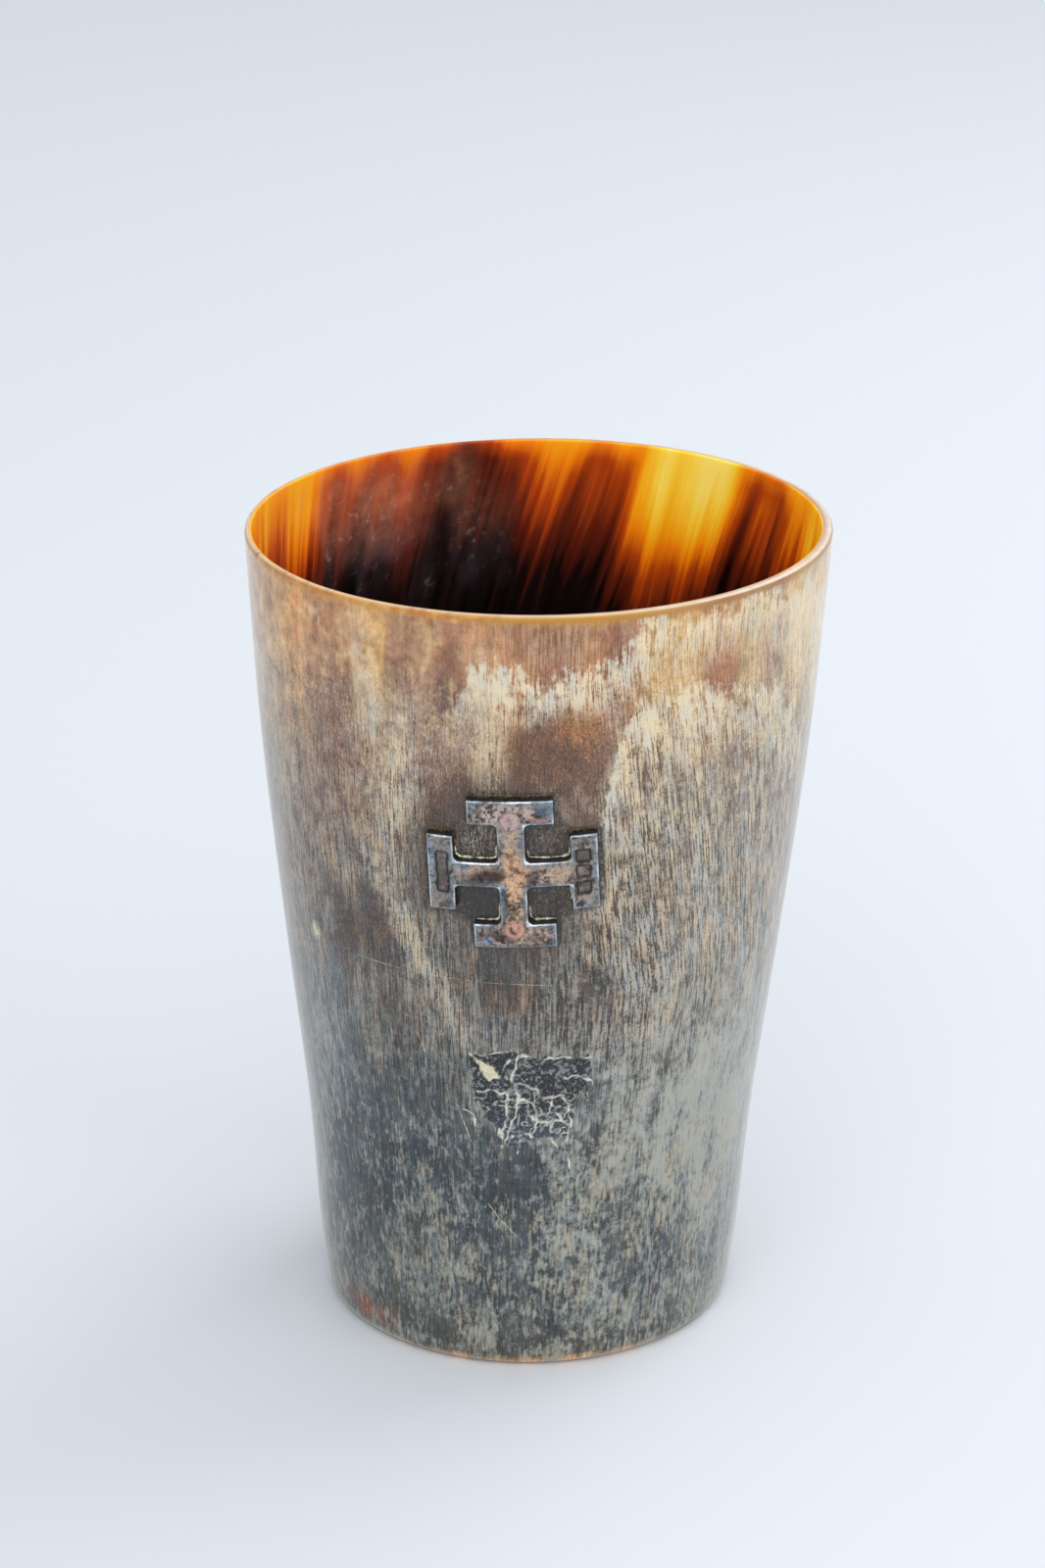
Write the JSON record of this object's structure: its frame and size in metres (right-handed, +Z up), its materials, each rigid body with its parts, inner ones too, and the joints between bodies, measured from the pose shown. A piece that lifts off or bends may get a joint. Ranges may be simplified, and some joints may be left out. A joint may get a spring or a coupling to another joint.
{
  "type": "horn drinking cup",
  "caption": "Tapered horn drinking beaker with a slightly oval mouth, a disc floor sprung into a groove, and a silver cross riveted to its front.",
  "frame": {"origin": "on the surface that the cup stands on, under the middle of its rim", "axes": "+Z up from foot to rim, -Y out through the cross on the front, +X to the right of someone who faces the cross"},
  "size_m": [0.0768, 0.0744, 0.11],
  "materials": {
    "horn": null,
    "silver": null
  },
  "bodies": {
    "root": {"horn_wall": "horn", "base_disc": "horn", "cross_badge": "silver", "badge_rivet_upper": "silver", "badge_rivet_lower": "silver"}
  },
  "joints": []
}
